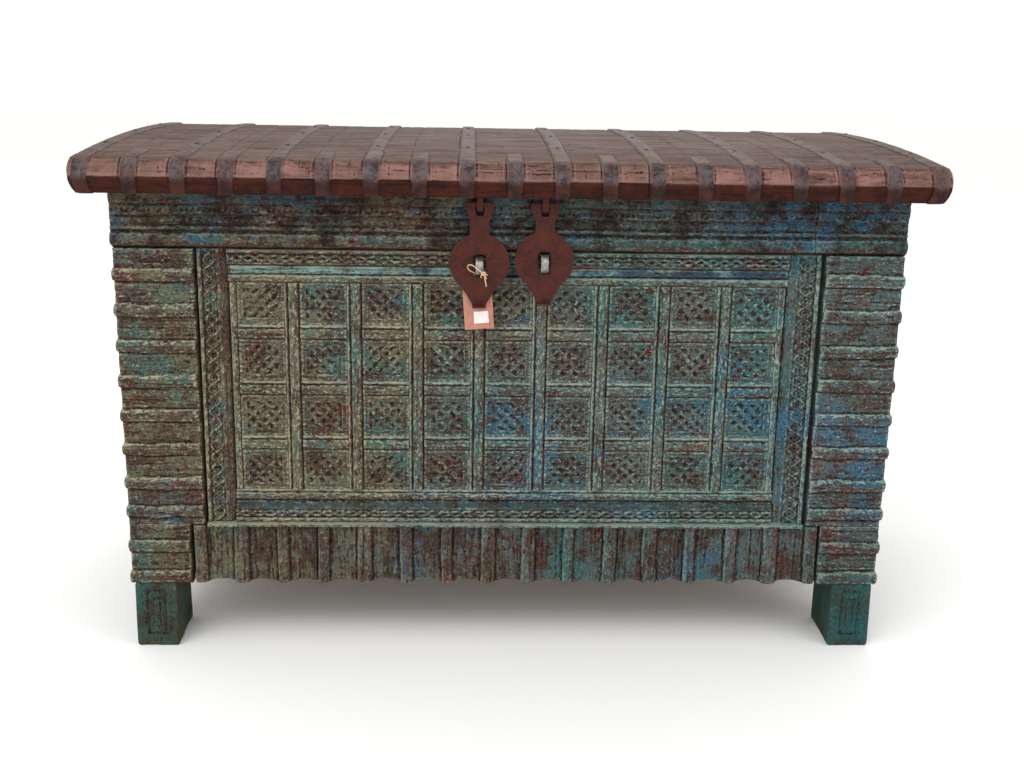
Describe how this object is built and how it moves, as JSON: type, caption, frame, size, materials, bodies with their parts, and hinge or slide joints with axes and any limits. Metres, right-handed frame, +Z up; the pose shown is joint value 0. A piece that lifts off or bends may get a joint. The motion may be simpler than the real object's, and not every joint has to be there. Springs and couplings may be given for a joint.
{
  "type": "wooden chest",
  "caption": "Carved and painted wooden storage chest on corner posts, with a low domed strapped lid on back hinges and slotted front hasps over staples.",
  "frame": {"origin": "on the floor, under the middle of the lid", "axes": "+X to the right along the front, +Y to the back, +Z up; the carved front faces -Y"},
  "size_m": [1.396, 0.702, 0.8726],
  "materials": {
    "carved_paint": "worn teal, blue and mint limewash rubbed back to red-brown wood",
    "apron_paint": "worn green-grey paint over red-brown ribs",
    "wall_paint": "worn teal paint on planks",
    "post_paint": "dark teal paint, chipped at the edges",
    "lid_wood": "dry red-brown hardwood, greyed on top",
    "inner_wood": "bare aged hardwood",
    "strap_iron": "dark rusted wrought iron strip",
    "hasp_iron": "even red-brown rust",
    "hinge_iron": "dark wrought iron",
    "staple_steel": "rubbed grey steel",
    "tag_card": "salmon kraft card",
    "tag_label": "matt white sticker with nothing on it",
    "tag_twine": "tan jute twine"
  },
  "bodies": {
    "body": {"back_battens": "inner_wood", "back_planks": "wall_paint", "border_bottom": "carved_paint", "border_left": "carved_paint", "border_right": "carved_paint", "border_top": "carved_paint", "bottom_rails": "inner_wood", "carved_squares": "carved_paint", "field_rails": "carved_paint", "field_stiles": "carved_paint", "floor_bearers": "inner_wood", "floor_boards": "inner_wood", "front_apron": "apron_paint", "front_ledge": "carved_paint", "front_planks": "carved_paint", "front_top_rail": "carved_paint", "front_top_rail_end": "carved_paint", "hinge_body_leaves": "hinge_iron", "hinge_pins": "hinge_iron", "pilaster_left": "carved_paint", "pilaster_right": "carved_paint", "post_back_left": "post_paint", "post_back_right": "post_paint", "post_front_left": "post_paint", "post_front_right": "post_paint", "side_facings_back": "wall_paint", "side_facings_front": "wall_paint", "side_planks_left": "wall_paint", "side_planks_right": "wall_paint", "side_rails": "wall_paint", "staple_left": "staple_steel", "staple_right": "staple_steel", "wall_nails": "hinge_iron"},
    "lid": {"hasp_hangers": "hasp_iron", "hinge_lid_leaves": "hinge_iron", "lid_back_plank": "lid_wood", "lid_back_rail": "lid_wood", "lid_battens": "inner_wood", "lid_edge_straps": "strap_iron", "lid_end_left": "lid_wood", "lid_end_right": "lid_wood", "lid_front_plank": "lid_wood", "lid_front_rail": "lid_wood", "lid_middle_planks": "lid_wood", "lid_nails": "strap_iron", "lid_strap_01": "strap_iron", "lid_strap_02": "strap_iron", "lid_strap_03": "strap_iron", "lid_strap_04": "strap_iron", "lid_strap_05": "strap_iron", "lid_strap_06": "strap_iron", "lid_strap_07": "strap_iron", "lid_strap_08": "strap_iron", "lid_strap_09": "strap_iron", "lid_strap_10": "strap_iron"},
    "hasp_left": {"hasp_left": "hasp_iron", "tag_card": "tag_card", "tag_label": "tag_label", "tag_twine": "tag_twine"},
    "hasp_right": {"hasp_right": "hasp_iron"}
  },
  "joints": [
    {"name": "lid_hinge", "type": "hinge", "parent": "body", "child": "lid", "pos_m": [0, 0.308, 0.794], "axis": [-1, 0, 0], "range_deg": [0, 105]},
    {"name": "hasp_left_hinge", "type": "hinge", "parent": "lid", "child": "hasp_left", "pos_m": [-0.055, -0.314, 0.788], "axis": [-1, 0, 0], "range_deg": [0, 85]},
    {"name": "hasp_right_hinge", "type": "hinge", "parent": "lid", "child": "hasp_right", "pos_m": [0.0505, -0.314, 0.788], "axis": [-1, 0, 0], "range_deg": [0, 85]}
  ]
}
